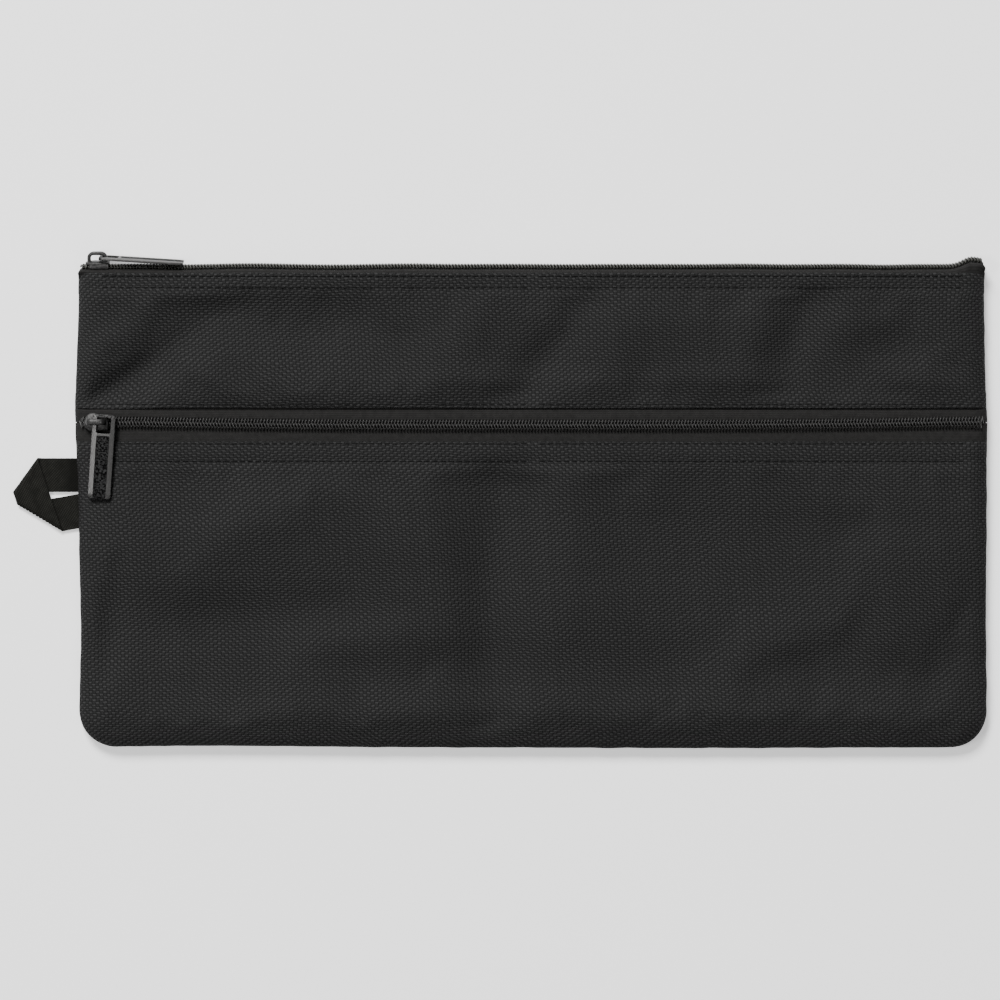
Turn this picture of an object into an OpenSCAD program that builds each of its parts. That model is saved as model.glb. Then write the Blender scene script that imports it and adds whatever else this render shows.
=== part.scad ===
// Flat two-zip pencil case, lying on its back.
// +X runs along the zips, +Y points to the top zip, +Z points out of the front.
// The origin is on the outer face of the back panel, in the middle of the case.

/* [Case] */
// Width of the case, from side seam to side seam
case_w = 340; // [280:5:380]
// Height of the case, from the bottom seam to the ridge of the top zip
case_h = 181; // [165:1:200]
// Radius of the two bottom corners
corner_r = 14; // [8:1:20]
// Thickness of one hemmed layer of fabric
fabric_t = 0.9; // [0.6:0.1:1]
// Thickness of the case at its side and bottom seams
seam_t = 4.2; // [4:0.1:5]
// Height of the front face at the front zip
zip_face_z = 9.4; // [9.2:0.1:10]
// How far the middle of the lower panel bulges out further
lower_bulge = 3.2; // [2.6:0.1:4]
// How far the middle of the upper panel bulges out further
upper_bulge = 1; // [0.4:0.1:2]

/* [Zips] */
// Distance of the front zip from the middle of the case, towards the top
front_zip_y = 31.2; // [25:0.2:36]
// Edge of the upper panel above the front zip's centre line
upper_gap = 5.2; // [4.6:0.1:6]
// Edge of the lower panel below the front zip's centre line
lower_gap = 7.1; // [4.6:0.1:8]
// Width of the closed chain of coils
chain_w = 4.3; // [4:0.1:4.6]
// Height of a coil above its tape
coil_h = 1.5; // [1.3:0.1:1.6]
// Thickness of a zip tape
tape_t = 0.5; // [0.4:0.05:0.6]
// Lean of the top zip towards the front, in degrees
top_zip_lean = 12; // [8:1:14]

/* [Sliders and pulls] */
// Width of a slider
slider_w = 7.1; // [6.9:0.1:7.2]
// Length of a slider
slider_l = 9; // [8.6:0.1:9.6]
// Width of a pull
pull_w = 8.5; // [8.2:0.1:9]
// Length of a pull
pull_l = 31.5; // [26:0.5:34]
// Thickness of a pull
pull_t = 1.4; // [1.2:0.1:1.4]

/* [Webbing loop] */
// Width of the webbing
webbing_w = 12.7; // [12:0.1:13]
// Thickness of the webbing
webbing_t = 1.1; // [0.9:0.1:1.2]
// How far the loop stands out of the side seam
loop_reach = 25; // [22:1:28]

/* [Hidden] */
$fn = 48;

half_w = case_w / 2;
half_h = case_h / 2;
bottom_y = -half_h;

// Clearances: between bodies that move, and between layers of one body
running_gap = 0.15;
layer_gap = 0.05;

// Front zip: the middle of its tape, and the edges of the two panels beside it
front_zip_z = zip_face_z - fabric_t - layer_gap - tape_t / 2;
upper_edge_y = front_zip_y + upper_gap;
lower_edge_y = front_zip_y - lower_gap;

// Top zip: the middle of its tape at the chain, and where its tape turns under the panels
coil_top = tape_t / 2 + coil_h;
top_zip_y = half_h - 0.2 - coil_top * cos(top_zip_lean);
top_zip_z = 5.1;
front_turn = 3.9;
back_turn = 3.7;
top_tape_z = 9.45;
back_tape_z = fabric_t + layer_gap + tape_t / 2;
top_face_z = top_tape_z + tape_t / 2 + layer_gap + fabric_t;
top_edge_y = half_h - 3.5;

// Chain and tape
coil_inner = 0.55;
coil_outer = chain_w / 2;
tape_inner = 0.5;
tape_tuck = 2.2;
chain_l = case_w - 3;
tucked_l = case_w - 22;

// Shape of the front face
side_rise = 8;
side_slope = 70;
bottom_rise = 24;
hem_top = 10;
hem_zip = 9;

// Seams inside
rim_t = 1.2;
rim_z = 2.9;
binding_inset = 2;
binding_w = 8;
binding_t = 1.2;
lining_t = 0.4;
lining_z = 5.2;
lining_inset = 4;

// Stitching
thread_w = 0.7;
thread_t = 0.3;
stitched_l = case_w - 20;

// Slider
wing_t = 1.1;
wing_z = coil_top + running_gap;
wing_top = wing_z + wing_t;
under_wing_t = 0.9;
under_wing_w = 5.6;
flange_w = 1.1;
tail_w = 5.4;
divider_w = 0.75;
bridge_w = 2.2;
bridge_l = 7.6;
bridge_h = 3.7;
bridge_t = 1.35;
bridge_leg = 1.5;
slider_rest_x = -half_w + 7.1;

// Pull
bar_w = 1.1;
window_l = 6.1;
window_w = 5.4;
rail_w = 1.6;
rail_rise = 0.25;
top_pull_pivot_x = 1.25;
top_pull_pivot_z = 4.4;
top_pull_drop = 3.6;
front_pull_pivot_x = (bridge_l - bridge_leg) / 2;
front_pull_z = 4;
front_pull_swing = 94;
front_pull_drop = 2;

// Webbing loop: the turns lie along the bisectors of the strap's directions
strap_z = 0.3;
layer_rise = webbing_t + 0.2;
fold_w = webbing_t;
leg_top_y = 17.9;
middle_lean = 18.6;
left_edge_l = 4.8;
lower_leg_lean = 10;

// --- helpers ---

// Extrudes a YZ outline along X, centred
module along_x(length) {
    rotate([90, 0, 90])
        translate([0, 0, -length / 2])
            linear_extrude(length)
                children();
}

// Extrudes an XZ outline along Y, centred
module along_y(length) {
    rotate([90, 0, 0])
        translate([0, 0, -length / 2])
            linear_extrude(length)
                children();
}

function unit(v) = v / norm(v);
function left_of(v) = [-v[1], v[0]];

// Offset direction at point i of a path, long enough to keep the band's thickness
function mitre(path, i) =
    let (
        last = len(path) - 1,
        into = unit(path[max(i, 1)] - path[max(i, 1) - 1]),
        out = unit(path[min(i + 1, last)] - path[min(i + 1, last) - 1]),
        mid = unit(left_of(into) + left_of(out))
    ) mid / (mid * left_of(into));

// Flat band of thickness t that follows a path
module band(path, t) {
    n = len(path);
    left = [for (i = [0:n - 1]) path[i] + mitre(path, i) * t / 2];
    right = [for (i = [n - 1:-1:0]) path[i] - mitre(path, i) * t / 2];
    polygon(concat(left, right));
}

// Points of an arc from angle a to angle b
function arc(centre, r, a, b, steps) =
    [for (i = [0:steps]) centre + r * [cos(a + (b - a) * i / steps), sin(a + (b - a) * i / steps)]];

// Outline of the case, pulled in by inset, with square top corners and round bottom ones
module case_outline(inset, top_y) {
    r = corner_r - inset;
    translate([-half_w + inset, bottom_y + corner_r])
        square([case_w - 2 * inset, top_y - bottom_y - corner_r]);
    translate([-half_w + corner_r, bottom_y + inset])
        square([case_w - 2 * corner_r, corner_r]);
    for (side = [-1, 1])
        translate([side * (half_w - corner_r), bottom_y + corner_r])
            circle(r);
}

// --- shape of the front face ---

function clamp01(t) = max(0, min(1, t));

// Quarter of an ellipse: 0 at a seam, 1 from the given width inwards
function round_rise(d, width) = sqrt(1 - pow(1 - clamp01(d / width), 2));

// Smooth step from 0 to 1 over the given width
function soft_rise(d, width) = let (t = clamp01(d / width)) t * t * (3 - 2 * t);

// Half the width of the case at a height, narrower in the round bottom corners
function half_width_at(y) =
    let (up = min(corner_r, y - bottom_y))
    half_w - corner_r + sqrt(corner_r * corner_r - pow(corner_r - up, 2));

// Height of the flat part of the front face
function face_level(y) =
    y > upper_edge_y
        ? zip_face_z + (top_face_z - zip_face_z) * soft_rise(y - upper_edge_y - 4, top_edge_y - upper_edge_y - 10)
        : seam_t + (zip_face_z - seam_t) * round_rise(y - bottom_y, bottom_rise);

function bulge_at(y) =
    y > upper_edge_y
        ? upper_bulge * soft_rise(y - upper_edge_y - hem_zip, 12) * soft_rise(top_edge_y - hem_top - y, 12)
        : lower_bulge * soft_rise(lower_edge_y - hem_zip - y, 22) * soft_rise(y - bottom_y, 50);

function face_z(x, y) =
    let (d = half_width_at(y) - abs(x))
    seam_t
        + round_rise(d, side_rise) * (face_level(y) - seam_t)
        + soft_rise(d, side_slope) * bulge_at(y);

// Distances from the side seam at which the face is sampled
side_steps = [0, 0.7, 2, 4, 8, 20, 36, 54, 78, 110];

// Positions across the case at a height, from left to right
function columns(y) =
    let (
        hw = half_width_at(y),
        left = [for (d = side_steps) -hw + d * hw / half_w],
        right = [for (i = [len(side_steps) - 1:-1:0]) -left[i]]
    ) concat(left, [0], right);

// Curved panel of even thickness below the front face, through rows at the given heights
module face_panel(rows) {
    grid = [for (y = rows) [for (x = columns(y)) [x, y, face_z(x, y)]]];
    nr = len(rows);
    nc = len(grid[0]);
    n = nr * nc;
    points = concat(
        [for (row = grid) for (p = row) p],
        [for (row = grid) for (p = row) p - [0, 0, fabric_t]]);
    top = [for (r = [0:nr - 2]) for (c = [0:nc - 2])
        let (a = r * nc + c) for (f = [[a, a + nc, a + 1], [a + 1, a + nc, a + nc + 1]]) f];
    under = [for (f = top) [f[2] + n, f[1] + n, f[0] + n]];
    rim = concat(
        [for (c = [0:nc - 1]) c],
        [for (r = [1:nr - 1]) r * nc + nc - 1],
        [for (c = [nc - 2:-1:0]) (nr - 1) * nc + c],
        [for (r = [nr - 2:-1:1]) r * nc]);
    m = len(rim);
    walls = [for (i = [0:m - 1])
        let (a = rim[i], b = rim[(i + 1) % m])
            for (f = [[a, b, b + n], [a, b + n, a + n]]) f];
    polyhedron(points, concat(top, under, walls));
}

// --- zips ---

// Frames of the zips: X along the chain, Y across it, Z out of it
module at_front_zip() {
    translate([0, front_zip_y, front_zip_z])
        children();
}

module at_top_zip() {
    translate([0, top_zip_y, top_zip_z])
        rotate([top_zip_lean - 90, 0, 0])
            children();
}

// One coil, on the side of the chain given by 1 or -1
module coil(side) {
    r = 0.5;
    along_x(chain_l)
        translate([side > 0 ? coil_inner : -coil_outer, tape_t / 2 + layer_gap])
            rounded_square(coil_outer - coil_inner, coil_h - layer_gap, r);
}

module rounded_square(w, h, r) {
    translate([r, 0])
        square([w - 2 * r, h]);
    translate([0, r])
        square([w, h - 2 * r]);
    for (x = [r, w - r], y = [r, h - r])
        translate([x, y])
            circle(r);
}

// Plan outline of a slider's wing: round at the mouth, narrower at the tail
module wing_outline(w, tail) {
    r = w / 2;
    mouth_x = -slider_l / 2 + r;
    translate([mouth_x, 0])
        circle(r);
    polygon([
        [mouth_x, -r],
        [slider_l / 2, -tail / 2],
        [slider_l / 2, tail / 2],
        [mouth_x, r]]);
}

// Slider in its zip's frame, centred on X = 0, with its mouth towards -X
module slider() {
    flange_bottom = tape_t / 2 + running_gap;
    // upper wing
    translate([0, 0, wing_z])
        linear_extrude(wing_t)
            wing_outline(slider_w, tail_w);
    // flanges beside the coils, cut from the wing's own outline
    difference() {
        translate([0, 0, flange_bottom])
            linear_extrude(wing_z - flange_bottom + 0.1)
                wing_outline(slider_w, slider_w - 0.4);
        translate([-slider_l, -coil_outer - running_gap, 0])
            cube([2 * slider_l, 2 * (coil_outer + running_gap), wing_z]);
    }
    // lower wing, behind the tape
    translate([0, 0, -tape_t / 2 - running_gap - under_wing_t])
        linear_extrude(under_wing_t)
            wing_outline(under_wing_w, under_wing_w - 0.6);
    // divider that joins the wings between the coils
    translate([-slider_l / 2 + 0.6, -divider_w / 2, -tape_t / 2 - running_gap - 0.1])
        cube([2.2, divider_w, wing_z + tape_t / 2 + running_gap + 0.2]);
    bridge();
}

// Arch on the upper wing that holds the pull
module bridge() {
    leg_x = bridge_l / 2;
    crown = wing_top + bridge_h;
    along_y(bridge_w)
        difference() {
            polygon(concat(
                [[-leg_x, wing_top - 0.1]],
                arc([-leg_x + 2.2, crown - 2.2], 2.2, 180, 90, 6),
                arc([leg_x - 2.2, crown - 2.2], 2.2, 90, 0, 6),
                [[leg_x, wing_top - 0.1]]));
            translate([-leg_x + bridge_leg, wing_top])
                square([bridge_l - 2 * bridge_leg, bridge_h - bridge_t]);
        }
}

// Pull in its own frame: the bar that passes through the bridge is centred on the origin
module pull() {
    body_l = pull_l - bar_w - window_l;
    near_x = -bar_w / 2;
    difference() {
        translate([near_x, 0, -pull_t / 2])
            linear_extrude(pull_t)
                pull_outline();
        translate([bar_w / 2, -window_w / 2, -pull_t])
            cube([window_l, window_w, 2 * pull_t]);
        // sunk centre
        translate([bar_w / 2 + window_l + 1.2, -pull_w / 2 + rail_w, pull_t / 2 - rail_rise])
            cube([body_l - 2.2, pull_w - 2 * rail_w, pull_t]);
    }
}

module pull_outline() {
    r = 1.1;
    translate([r, -pull_w / 2])
        square([pull_l - 2 * r, pull_w]);
    translate([0, -pull_w / 2 + r])
        square([pull_l, pull_w - 2 * r]);
    for (x = [r, pull_l - r], side = [-1, 1])
        translate([x, side * (pull_w / 2 - r)])
            circle(r);
}

// --- nodes: case ---

module back_panel() {
    color([0.16, 0.16, 0.16]) {
        linear_extrude(fabric_t)
            case_outline(0, top_edge_y + 1.5);
        difference() {
            linear_extrude(rim_z)
                case_outline(0, top_edge_y - 5);
            translate([0, 0, -1])
                linear_extrude(rim_z + 2)
                    case_outline(rim_t, top_edge_y + 1);
        }
    }
}

module front_upper_panel() {
    rows = [upper_edge_y, upper_edge_y + 4, upper_edge_y + hem_zip, upper_edge_y + 16, upper_edge_y + 24,
        upper_edge_y + 32, top_edge_y - hem_top, top_edge_y - 5, top_edge_y];
    color([0.17, 0.17, 0.17])
        face_panel(rows);
}

module front_lower_panel() {
    rows = [bottom_y, bottom_y + 0.5, bottom_y + 1.8, bottom_y + 4.5, bottom_y + 8, bottom_y + corner_r,
        bottom_y + 24, bottom_y + 38, bottom_y + 54, bottom_y + 72, bottom_y + 88,
        lower_edge_y - hem_zip, lower_edge_y];
    color([0.17, 0.17, 0.17])
        face_panel(rows);
}

module pocket_lining() {
    wall_y = upper_edge_y + 3.3;
    wall_top = front_zip_z - tape_t / 2 - 0.3;
    color([0.2, 0.2, 0.2]) {
        translate([0, 0, lining_z])
            linear_extrude(lining_t)
                case_outline(lining_inset, wall_y);
        translate([-half_w + lining_inset, wall_y - lining_t, lining_z])
            cube([case_w - 2 * lining_inset, lining_t, wall_top - lining_z]);
    }
}

module seam_binding() {
    z = fabric_t + layer_gap;
    color([0.1, 0.1, 0.1])
        translate([0, 0, z])
            difference() {
                linear_extrude(binding_t)
                    case_outline(binding_inset, top_edge_y - 8);
                translate([0, 0, -1])
                    linear_extrude(binding_t + 2)
                        case_outline(binding_inset + binding_w, top_edge_y);
            }
}

// --- nodes: top zip ---

// Point of the top zip's straight tape, w across the chain towards the front
function top_zip_point(w) =
    [top_zip_y - w * sin(top_zip_lean), top_zip_z + w * cos(top_zip_lean)];

module top_zip_front_tape() {
    turn = top_zip_point(front_turn);
    color([0.12, 0.12, 0.12])
        along_x(tucked_l)
            band([top_zip_point(tape_inner), turn, [turn[0] - 0.35, top_tape_z - 0.12],
                [turn[0] - 0.9, top_tape_z], [top_edge_y - tape_tuck, top_tape_z]], tape_t);
}

module top_zip_back_tape() {
    turn = top_zip_point(-back_turn);
    color([0.12, 0.12, 0.12])
        along_x(tucked_l)
            band([top_zip_point(-tape_inner), turn,
                [turn[0] - 0.5, back_tape_z], [top_edge_y - 7, back_tape_z]], tape_t);
}

module top_zip_front_coil() {
    color([0.1, 0.1, 0.1])
        at_top_zip()
            coil(-1);
}

module top_zip_back_coil() {
    color([0.1, 0.1, 0.1])
        at_top_zip()
            coil(1);
}

module top_zip_slider() {
    color([0.35, 0.35, 0.34])
        at_top_zip()
            translate([slider_rest_x, 0, 0])
                slider();
}

module top_zip_pull() {
    color([0.4, 0.4, 0.39])
        at_top_zip()
            translate([slider_rest_x + top_pull_pivot_x, 0, top_pull_pivot_z])
                rotate([0, top_pull_drop, 0])
                    pull();
}

// --- nodes: front zip ---

module front_zip_upper_tape() {
    color([0.12, 0.12, 0.12])
        at_front_zip()
            along_x(tucked_l)
                band([[tape_inner, 0], [upper_gap + tape_tuck, 0]], tape_t);
}

module front_zip_lower_tape() {
    color([0.12, 0.12, 0.12])
        at_front_zip()
            along_x(tucked_l)
                band([[-lower_gap - tape_tuck, 0], [-tape_inner, 0]], tape_t);
}

module front_zip_upper_coil() {
    color([0.1, 0.1, 0.1])
        at_front_zip()
            coil(1);
}

module front_zip_lower_coil() {
    color([0.1, 0.1, 0.1])
        at_front_zip()
            coil(-1);
}

module front_zip_slider() {
    color([0.35, 0.35, 0.34])
        at_front_zip()
            translate([slider_rest_x, 0, 0])
                slider();
}

// The pull hangs across the chain, with one leg of the bridge in its window
module front_zip_pull() {
    color([0.4, 0.4, 0.39])
        at_front_zip()
            translate([slider_rest_x + front_pull_pivot_x, 0, front_pull_z])
                rotate([0, 0, -front_pull_swing])
                    translate([-bar_w - 1.3, 0, 0])
                        rotate([0, front_pull_drop, 0])
                            pull();
}

// --- nodes: webbing loop ---

// Strap folded flat twice: a straight leg, a middle stretch on top of both legs, and a second leg
module webbing_loop() {
    seam_x = -half_w - 0.2;
    fold_1_low = [-half_w - loop_reach + 0.6, leg_top_y - webbing_w];
    middle_dir = [sin(middle_lean), -cos(middle_lean)];
    leg_dir = [cos(lower_leg_lean), sin(lower_leg_lean)];
    fold_1_dir = unit([-1, 0] + middle_dir);
    fold_1_top = fold_1_low + fold_1_dir * webbing_w / fold_1_dir[1];
    middle_left = fold_1_low + middle_dir * left_edge_l;
    fold_2_dir = unit(middle_dir + leg_dir);
    across = fold_2_dir * left_of(middle_dir);
    fold_2_low = middle_left + fold_2_dir * webbing_w / across;
    leg_2_top = middle_left + leg_dir * (seam_x - middle_left[0]) / leg_dir[0];
    leg_2_low = fold_2_low + leg_dir * (seam_x - fold_2_low[0]) / leg_dir[0];
    middle = [fold_1_top, fold_2_low, middle_left, fold_1_low];
    color([0.2, 0.2, 0.18])
        translate([0, 0, strap_z]) {
            // legs
            linear_extrude(webbing_t) {
                polygon([[seam_x, leg_top_y], fold_1_top, fold_1_low, [seam_x, leg_top_y - webbing_w]]);
                polygon([middle_left, leg_2_top, leg_2_low, fold_2_low]);
            }
            // middle stretch
            translate([0, 0, layer_rise])
                linear_extrude(webbing_t)
                    polygon(middle);
            // the two folds
            linear_extrude(layer_rise + webbing_t)
                intersection() {
                    polygon(middle);
                    union() {
                        fold(fold_1_top, fold_1_low);
                        fold(middle_left, fold_2_low);
                    }
                }
        }
}

// Edge strip along a fold, inside the strap
module fold(a, b) {
    inward = left_of(unit(b - a)) * fold_w;
    polygon([a, b, b + inward, a + inward]);
}

// --- nodes: stitching ---

// One row of stitching, on a surface at the given height
module stitch_row(y, z) {
    translate([-stitched_l / 2, y - thread_w / 2, z + 0.02])
        cube([stitched_l, thread_w, thread_t]);
}

module top_zip_front_stitching() {
    color([0.08, 0.08, 0.08])
        for (y = [top_edge_y - 1.3, top_edge_y - 5.5])
            stitch_row(y, top_face_z);
}

module top_zip_back_stitching() {
    color([0.08, 0.08, 0.08])
        stitch_row(top_edge_y - 2, back_tape_z + tape_t / 2);
}

module front_zip_upper_stitching() {
    color([0.08, 0.08, 0.08])
        stitch_row(upper_edge_y + 1.5, zip_face_z);
}

module front_zip_lower_stitching() {
    color([0.08, 0.08, 0.08])
        for (y = [lower_edge_y - 0.9, lower_edge_y - 7.4])
            stitch_row(y, zip_face_z);
}

back_panel();
front_upper_panel();
front_lower_panel();
pocket_lining();
seam_binding();
top_zip_front_tape();
top_zip_back_tape();
top_zip_front_coil();
top_zip_back_coil();
top_zip_slider();
top_zip_pull();
front_zip_upper_tape();
front_zip_lower_tape();
front_zip_upper_coil();
front_zip_lower_coil();
front_zip_slider();
front_zip_pull();
webbing_loop();
top_zip_front_stitching();
top_zip_back_stitching();
front_zip_upper_stitching();
front_zip_lower_stitching();
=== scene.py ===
import bpy
import bmesh
import math
from collections import namedtuple
from mathutils import Matrix, Vector, noise


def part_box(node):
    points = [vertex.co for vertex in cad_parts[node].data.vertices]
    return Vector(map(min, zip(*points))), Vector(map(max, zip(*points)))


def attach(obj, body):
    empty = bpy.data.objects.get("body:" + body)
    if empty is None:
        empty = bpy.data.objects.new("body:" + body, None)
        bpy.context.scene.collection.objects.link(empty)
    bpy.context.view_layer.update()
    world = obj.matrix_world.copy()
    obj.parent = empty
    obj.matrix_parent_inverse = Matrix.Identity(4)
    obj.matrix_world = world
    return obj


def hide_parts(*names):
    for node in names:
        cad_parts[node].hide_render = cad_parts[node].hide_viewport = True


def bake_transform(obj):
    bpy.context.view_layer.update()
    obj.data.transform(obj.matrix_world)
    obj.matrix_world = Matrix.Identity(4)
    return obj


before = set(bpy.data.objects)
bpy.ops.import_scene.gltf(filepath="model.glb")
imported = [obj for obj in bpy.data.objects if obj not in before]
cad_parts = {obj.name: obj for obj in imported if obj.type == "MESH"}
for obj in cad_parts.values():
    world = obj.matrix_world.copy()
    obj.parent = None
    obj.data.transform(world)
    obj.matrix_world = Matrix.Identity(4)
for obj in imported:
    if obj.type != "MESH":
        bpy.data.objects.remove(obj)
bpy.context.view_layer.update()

# Shapes are worked out in millimetres, and meshes are built in metres
MM = 0.001
UP = Vector((0, 0, 1))


def corners_mm(node):
    low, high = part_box(node)
    return low / MM, high / MM


def assign(target, **values):
    for key, value in values.items():
        setattr(target, key, value)


def new_object(name, data):
    made = bpy.data.objects.new(name, data)
    bpy.context.scene.collection.objects.link(made)
    return made


def evaluated(obj):
    return obj.evaluated_get(bpy.context.evaluated_depsgraph_get())


# ---- camera, floor and light

# The view looks straight down and takes in this width, centred on this point of the case
VIEW_WIDTH = 373.6
VIEW_X = -12.3
VIEW_Y = 2.2
VIEW_Z = 8
LENS = 150
SENSOR = 36


def add_camera():
    data = bpy.data.cameras.new("camera")
    assign(data, lens=LENS, sensor_width=SENSOR, clip_end=20)
    camera = new_object("camera", data)
    camera.location = Vector((VIEW_X, VIEW_Y, VIEW_Z + VIEW_WIDTH * LENS / SENSOR)) * MM
    bpy.context.scene.camera = camera


def add_area_light(name, place, size, power):
    """Soft square light at a place in metres, aimed at the case."""
    data = bpy.data.lights.new(name, "AREA")
    assign(data, shape="SQUARE", size=size, energy=power)
    aim = (-Vector(place)).to_track_quat("-Z", "Y").to_euler()
    assign(new_object(name, data), location=place, rotation_euler=aim)


def add_world(strength):
    world = bpy.data.worlds.new("studio")
    world.use_nodes = True
    background = world.node_tree.nodes["Background"]
    background.inputs["Color"].default_value = (1, 1, 1, 1)
    background.inputs["Strength"].default_value = strength
    bpy.context.scene.world = world


# ---- shader nodes

class Value:
    """Output of a shader node, on which arithmetic adds further nodes."""

    def __init__(self, tree, socket):
        self.tree = tree
        self.socket = socket

    def __add__(self, other):
        return self.tree.math("ADD", self, other)

    def __sub__(self, other):
        return self.tree.math("SUBTRACT", self, other)

    def __mul__(self, other):
        return self.tree.math("MULTIPLY", self, other)

    def __truediv__(self, other):
        return self.tree.math("DIVIDE", self, other)

    def __pow__(self, other):
        return self.tree.math("POWER", self, other)

    def __abs__(self):
        return self.tree.math("ABSOLUTE", self)


class Tree:
    """Short calls for building one material's nodes."""

    def __init__(self, name):
        self.material = bpy.data.materials.new(name)
        self.material.use_nodes = True
        self.tree = self.material.node_tree
        self.shader = self.tree.nodes["Principled BSDF"]

    def set(self, socket, value):
        if isinstance(value, Value):
            self.tree.links.new(value.socket, socket)
        else:
            socket.default_value = value

    def add(self, kind, output, inputs, **settings):
        """Adds a node with these inputs, and gives one of its outputs."""
        node = self.tree.nodes.new(kind)
        assign(node, **settings)
        for key, value in inputs.items():
            self.set(node.inputs[key], value)
        return Value(self, node.outputs[output])

    def math(self, operation, *values):
        return self.add("ShaderNodeMath", 0, dict(enumerate(values)), operation=operation)

    def wave(self, value, pitch):
        """Cosine that turns once in two pitches."""
        return self.math("COSINE", value * (math.pi / pitch))

    def remap(self, value, from_low, from_high, to_low, to_high):
        ends = {"From Min": from_low, "From Max": from_high, "To Min": to_low, "To Max": to_high}
        return self.add("ShaderNodeMapRange", "Result", {"Value": value, **ends}, clamp=True)

    def mix(self, factor, low, high):
        return self.add("ShaderNodeMix", 0, {0: factor, 2: low, 3: high})

    def mix_colour(self, factor, dark, light):
        return self.add("ShaderNodeMix", 2, {0: factor, 6: dark, 7: light}, data_type="RGBA")

    def noise(self, vector, scale, detail=2.0, roughness=0.5):
        kinds = {"Scale": scale, "Detail": detail, "Roughness": roughness}
        return self.add("ShaderNodeTexNoise", "Fac", {"Vector": vector, **kinds})

    def axis(self, vector, letter):
        return self.add("ShaderNodeSeparateXYZ", letter, {"Vector": vector})

    def cloth_uv(self):
        """The cloth's own coordinates, in millimetres along its two directions."""
        uv = self.add("ShaderNodeUVMap", "UV", {}, uv_map=CLOTH_UV)
        return uv, self.axis(uv, "X"), self.axis(uv, "Y")

    def stretched(self, vector, scale_x, scale_y):
        return self.add("ShaderNodeMapping", "Vector", {"Vector": vector, "Scale": (scale_x, scale_y, 1)})

    def yarn_tone(self, line, pitch):
        """Random value, the same all along one yarn."""
        number = self.math("FLOOR", line / pitch + 0.5)
        return self.add("ShaderNodeTexWhiteNoise", "Value", {"W": number}, noise_dimensions="1D")

    def place(self):
        return self.add("ShaderNodeTexCoord", "Object", {})

    def bump(self, height, depth, strength=1.0):
        relief = {"Height": height, "Distance": depth * MM, "Strength": strength}
        self.set(self.shader.inputs["Normal"], self.add("ShaderNodeBump", "Normal", relief))

    def finish(self, colour, roughness, **inputs):
        for key, value in {"Base Color": colour, "Roughness": roughness, **inputs}.items():
            self.set(self.shader.inputs[key.replace("_", " ")], value)
        return self.material


CLOTH_UV = "cloth"


def grey(value, warm=0.0):
    return (value * (1 + warm), value, value * (1 - warm), 1)


def olive(value):
    return (value * 1.03, value * 1.03, value * 0.9, 1)


def canvas_material():
    """Heavy plain weave of cross yarns over and under long yarns, with painted light: the cross floats are
    painted lighter as glints, and the yarns are painted darker into the grooves between them as shade.
    """
    pitch_x = 1.39
    pitch_y = 0.98
    skew_x = 0.066
    skew_y = 0.01
    t = Tree("canvas")
    uv, x, y = t.cloth_uv()
    x_line = x + y * skew_x + (t.noise(uv, 0.13, 1.0) - 0.5) * 1.6
    y_line = y + x * skew_y + (t.noise(uv, 0.17, 1.0) - 0.5) * 1.3
    wave_x = t.wave(x_line, pitch_x)
    wave_y = t.wave(y_line, pitch_y)
    half_x = t.wave(x_line - pitch_x / 2, pitch_x)
    half_y = t.wave(y_line - pitch_y / 2, pitch_y)
    lean = t.remap(t.noise(uv, 0.025), 0.42, 0.56, -0.75, 0.75)
    cross_over = t.remap(wave_x * wave_y + half_x * half_y * lean, -0.2, 0.3, 0, 1)
    round_x = abs(wave_x) ** 0.6
    round_y = abs(wave_y) ** 0.6
    cross_yarn = round_y * t.remap(round_x, 0, 1, 0.65, 1)
    long_yarn = round_x * t.remap(round_y, 0, 1, 0.65, 1)
    relief = t.mix(cross_over, long_yarn, cross_yarn)
    fibre_x = t.noise(t.stretched(uv, 1.2, 9), 1.0, 2.0, 0.6)
    fibre_y = t.noise(t.stretched(uv, 9, 1.2), 1.0, 2.0, 0.6)
    fibre = t.mix(cross_over, fibre_y, fibre_x)
    yarns = t.remap(t.yarn_tone(x_line, pitch_x) + t.yarn_tone(y_line, pitch_y), 0, 2, 0.88, 1.12)
    worn = t.remap(t.noise(uv, 0.022, 3.0, 0.55), 0.35, 0.65, 0.92, 1.08)
    tone = yarns * t.remap(fibre, 0.3, 0.7, 0.7, 1.3) * worn
    # Painted light: yarn crowns and cross floats lighter as painted glints, grooves darker as painted shade,
    # times the yarns' own tone
    lit = relief * t.remap(cross_over, 0, 1, 0.3, 1.0) * tone
    t.bump(relief + fibre * 0.25, 0.3)
    colour = t.mix_colour(lit, grey(0.009), grey(0.030))
    return t.finish(colour, t.remap(lit, 0, 1, 0.85, 0.65), Specular_IOR_Level=0.06)


def tape_material():
    """Close smooth knit with fine ribs along the zip."""
    t = Tree("zip tape")
    uv, x, y = t.cloth_uv()
    rib = abs(t.wave(y, 0.58))
    stitch = abs(t.wave(x + y * 0.8, 0.5))
    knit = t.remap(rib, 0, 1, 0.5, 1) * t.remap(stitch, 0, 1, 0.45, 1)
    tone = t.remap(t.noise(uv, 0.5, 3.0), 0.3, 0.7, 0.75, 1.25)
    t.bump(knit, 0.1)
    colour = t.mix_colour(knit * tone, grey(0.005, 0.02), grey(0.021, 0.03))
    return t.finish(colour, 0.8, Specular_IOR_Level=0.06)


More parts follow.
